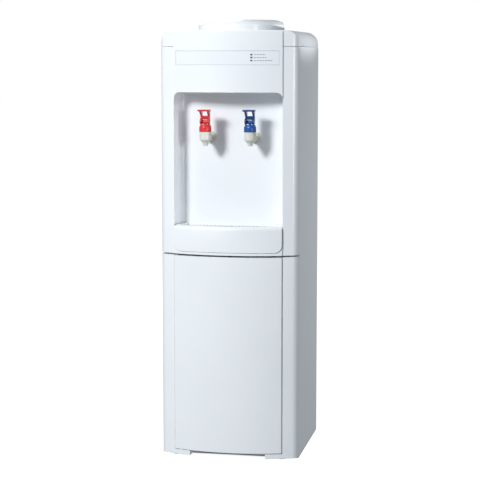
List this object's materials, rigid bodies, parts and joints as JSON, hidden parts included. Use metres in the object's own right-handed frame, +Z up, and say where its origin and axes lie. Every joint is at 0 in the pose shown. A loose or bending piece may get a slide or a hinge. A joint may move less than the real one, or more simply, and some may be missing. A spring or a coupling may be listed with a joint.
{
  "type": "water dispenser",
  "caption": "White floor-standing water dispenser with a bottle seat on top, red hot and blue cold lever taps in an alcove, a drip tray and a cupboard with a bowed door.",
  "frame": {"origin": "on the floor, under the middle of the dispenser's width and depth", "axes": "+X to the right as seen from the front, +Y to the back, +Z up"},
  "size_m": [0.31, 0.32, 0.97],
  "materials": {
    "white_moulding": "satin white moulding",
    "white_sheet": "smooth white paint",
    "rear_sheet": "light grey paint",
    "label_strip": "printed film, left bare",
    "dark_lens": "dark clear plastic",
    "ivory_tap": "smooth ivory",
    "red_plastic": "smooth red",
    "blue_plastic": "smooth blue",
    "silicone": "translucent silicone",
    "black_rubber": "matt",
    "grey_rubber": "matt",
    "grille_plastic": "satin white",
    "seat_plastic": "satin white",
    "inner_plastic": "fine grain",
    "valve_plastic": "plain",
    "steel": "brushed",
    "sink_aluminium": "extruded",
    "black_plastic": "fine grain",
    "foam": "closed-cell foam",
    "module_ceramic": "ceramic tile",
    "board_green": "coated board"
  },
  "bodies": {
    "cabinet": {"band_heater": "steel", "base_plinth": "inner_plastic", "cabinet_liner": "inner_plastic", "cabinet_shelf": "inner_plastic", "catch_magnet": "steel", "cold_foam": "foam", "cold_hose": "silicone", "cold_tank": "steel", "cold_tap_body": "ivory_tap", "cold_tap_bonnet": "blue_plastic", "cold_tap_spring": "steel", "cooling_module": "module_ceramic", "cord_gland": "black_plastic", "fan_frame": "black_plastic", "feed_hose": "silicone", "foot_pads": "black_rubber", "heat_sink": "sink_aluminium", "hinge_pins": "steel", "hot_hose": "silicone", "hot_tank": "steel", "hot_tap_body": "ivory_tap", "hot_tap_bonnet": "red_plastic", "hot_tap_spring": "steel", "indicator_board": "board_green", "indicator_lenses": "dark_lens", "indicator_strip": "label_strip", "left_side_panel": "white_sheet", "lower_frame": "white_moulding", "panel_screws": "steel", "power_board": "board_green", "rear_panel": "rear_sheet", "right_side_panel": "white_sheet", "switch_bodies": "black_plastic", "tank_baffle": "inner_plastic", "tank_bracket": "steel", "tank_deck": "steel", "tap_nuts": "valve_plastic", "thermostats": "black_plastic", "top_cover": "white_moulding", "upper_fascia": "white_moulding"},
    "door": {"door_panel": "white_moulding", "door_liner": "inner_plastic", "door_gasket": "grey_rubber"},
    "tray": {"drip_tray": "white_moulding"},
    "grille": {"drip_grille": "grille_plastic"},
    "hot_valve": {"hot_tap_stem": "red_plastic", "hot_tap_cup": "silicone", "hot_tap_pin": "steel"},
    "hot_lever": {"hot_tap_lever": "red_plastic"},
    "cold_valve": {"cold_tap_stem": "blue_plastic", "cold_tap_cup": "silicone", "cold_tap_pin": "steel"},
    "cold_lever": {"cold_tap_lever": "blue_plastic"},
    "bottle_receiver": {"bottle_collar": "white_moulding", "bottle_seat": "seat_plastic", "seat_seal": "silicone"},
    "fan": {"fan_rotor": "black_plastic"},
    "heat_switch": {"heat_rocker": "black_plastic"},
    "cool_switch": {"cool_rocker": "black_plastic"},
    "cap": {"drain_cap": "black_plastic"}
  },
  "joints": [
    {"name": "door_hinge", "type": "hinge", "parent": "cabinet", "child": "door", "pos_m": [-0.116, -0.13553, 0.232], "axis": [0, 0, -1], "range_deg": [0, 110]},
    {"name": "tray_pull", "type": "slide", "parent": "cabinet", "child": "tray", "axis": [0, -1, 0], "range_m": [0, 0.08]},
    {"name": "grille_lift", "type": "slide", "parent": "tray", "child": "grille", "axis": [0, 0, 1], "range_m": [0, 0.06]},
    {"name": "hot_valve_lift", "type": "slide", "parent": "cabinet", "child": "hot_valve", "axis": [0, 0, 1], "range_m": [0, 0.00301], "stiffness_N_per_m": 2000, "springref_m": -0.004, "deforming": ["hot_tap_spring"]},
    {"name": "hot_lever_press", "type": "hinge", "parent": "hot_valve", "child": "hot_lever", "pos_m": [-0.04975, -0.138, 0.7465], "axis": [1, 0, 0], "range_deg": [0, 40]},
    {"name": "cold_valve_lift", "type": "slide", "parent": "cabinet", "child": "cold_valve", "axis": [0, 0, 1], "range_m": [0, 0.00301], "stiffness_N_per_m": 2000, "springref_m": -0.004, "deforming": ["cold_tap_spring"]},
    {"name": "cold_lever_press", "type": "hinge", "parent": "cold_valve", "child": "cold_lever", "pos_m": [0.04975, -0.138, 0.7465], "axis": [1, 0, 0], "range_deg": [0, 40]},
    {"name": "receiver_lift", "type": "slide", "parent": "cabinet", "child": "bottle_receiver", "axis": [0, 0, 1], "range_m": [0, 0.13]},
    {"name": "fan_spin", "type": "hinge", "parent": "cabinet", "child": "fan", "pos_m": [0, 0.135, 0.77], "axis": [0, 1, 0], "continuous": true},
    {"name": "heat_rocker_tilt", "type": "hinge", "parent": "cabinet", "child": "heat_switch", "pos_m": [-0.112, 0.1492, 0.85], "axis": [1, 0, 0], "range_deg": [0, 20]},
    {"name": "cool_rocker_tilt", "type": "hinge", "parent": "cabinet", "child": "cool_switch", "pos_m": [-0.072, 0.1492, 0.85], "axis": [1, 0, 0], "range_deg": [0, 20]},
    {"name": "cap_pull", "type": "slide", "parent": "cabinet", "child": "cap", "axis": [0, 1, 0], "range_m": [0, 0.03]}
  ],
  "couplings": [
    {"joint": "hot_lever_press", "follows": "hot_valve_lift", "rad_per_m": 203.14},
    {"joint": "cold_lever_press", "follows": "cold_valve_lift", "rad_per_m": 203.14}
  ]
}
